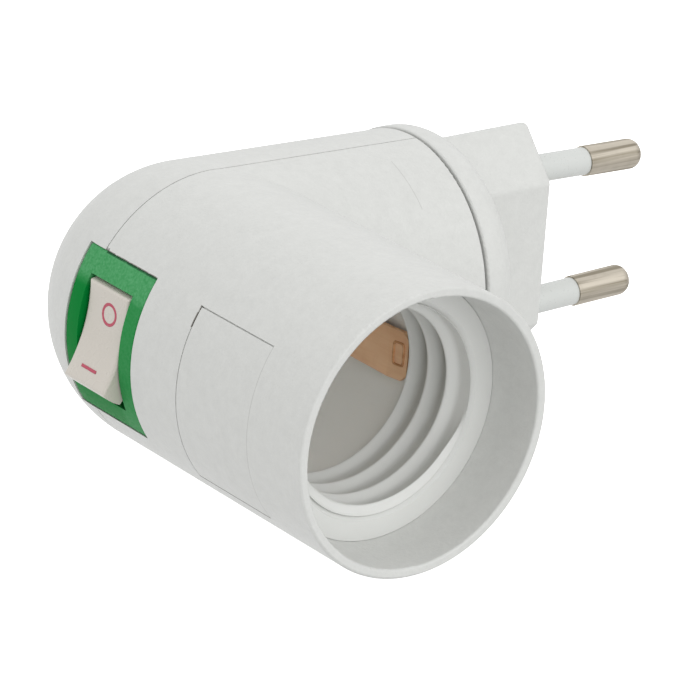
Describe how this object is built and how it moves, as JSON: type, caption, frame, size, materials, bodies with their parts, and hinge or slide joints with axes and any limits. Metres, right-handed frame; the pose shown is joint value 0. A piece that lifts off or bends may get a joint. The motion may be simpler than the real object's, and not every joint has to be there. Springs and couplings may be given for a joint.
{
  "type": "lamp socket adapter",
  "caption": "Elbow-shaped plug-in lamp socket: an E27 socket at a right angle to a swivelling Europlug, with a rocker switch on the elbow's end.",
  "frame": {"origin": "middle of the plug's face, between the two pins", "axes": "+X along the pins towards the wall outlet, -Y out of the socket's mouth, +Z from the lower pin to the upper pin"},
  "size_m": [0.0901, 0.0645, 0.0366],
  "materials": {
    "housing_white": "satin moulded plastic with a fine grain",
    "socket_white": "satin moulded plastic",
    "sleeve_white": "smooth moulded plastic",
    "switch_green": "translucent gloss plastic",
    "rocker_white": "gloss moulded plastic",
    "switch_black": "matt moulded plastic",
    "nickel": "nickel-plated brass",
    "copper_strip": "rolled copper alloy strip",
    "brass_terminal": "stamped brass",
    "spring_steel": "spring wire",
    "screw_steel": "zinc-plated steel",
    "lead_brown": "soft insulation",
    "lead_blue": "soft insulation"
  },
  "bodies": {
    "housing": {"front_shell": "housing_white", "back_shell": "housing_white", "thread_sleeve": "socket_white", "side_contact": "copper_strip", "centre_contact": "copper_strip", "side_rivet": "nickel", "centre_rivet": "nickel", "switch_frame": "switch_green", "switch_base": "switch_black", "terminal_common": "brass_terminal", "terminal_contact": "brass_terminal", "shell_screw_upper": "screw_steel", "shell_screw_lower": "screw_steel", "lead_line": "lead_brown", "lead_load": "lead_brown", "lead_neutral": "lead_blue"},
    "plug": {"plug_body": "housing_white", "pin_upper": "nickel", "pin_lower": "nickel", "pin_sleeve_upper": "sleeve_white", "pin_sleeve_lower": "sleeve_white"},
    "rocker": {"rocker": "rocker_white", "plunger": "brass_terminal", "plunger_spring": "spring_steel"},
    "lever": {"contact_lever": "copper_strip"}
  },
  "joints": [
    {"name": "plug_swivel", "type": "hinge", "parent": "housing", "child": "plug", "pos_m": [-0.02, 0, 0], "axis": [1, 0, 0], "range_deg": [-90, 90], "deforming": ["lead_line", "lead_neutral"]},
    {"name": "rocker_tilt", "type": "hinge", "parent": "housing", "child": "rocker", "pos_m": [-0.0661, -0.005, 0], "axis": [0, -1, 0], "range_deg": [0, 30]},
    {"name": "lever_rock", "type": "hinge", "parent": "housing", "child": "lever", "pos_m": [-0.05945, -0.005, 0], "axis": [0, -1, 0], "range_deg": [-14, 0]}
  ],
  "couplings": [
    {"joint": "lever_rock", "follows": "rocker_tilt", "ratio": -0.46667}
  ]
}
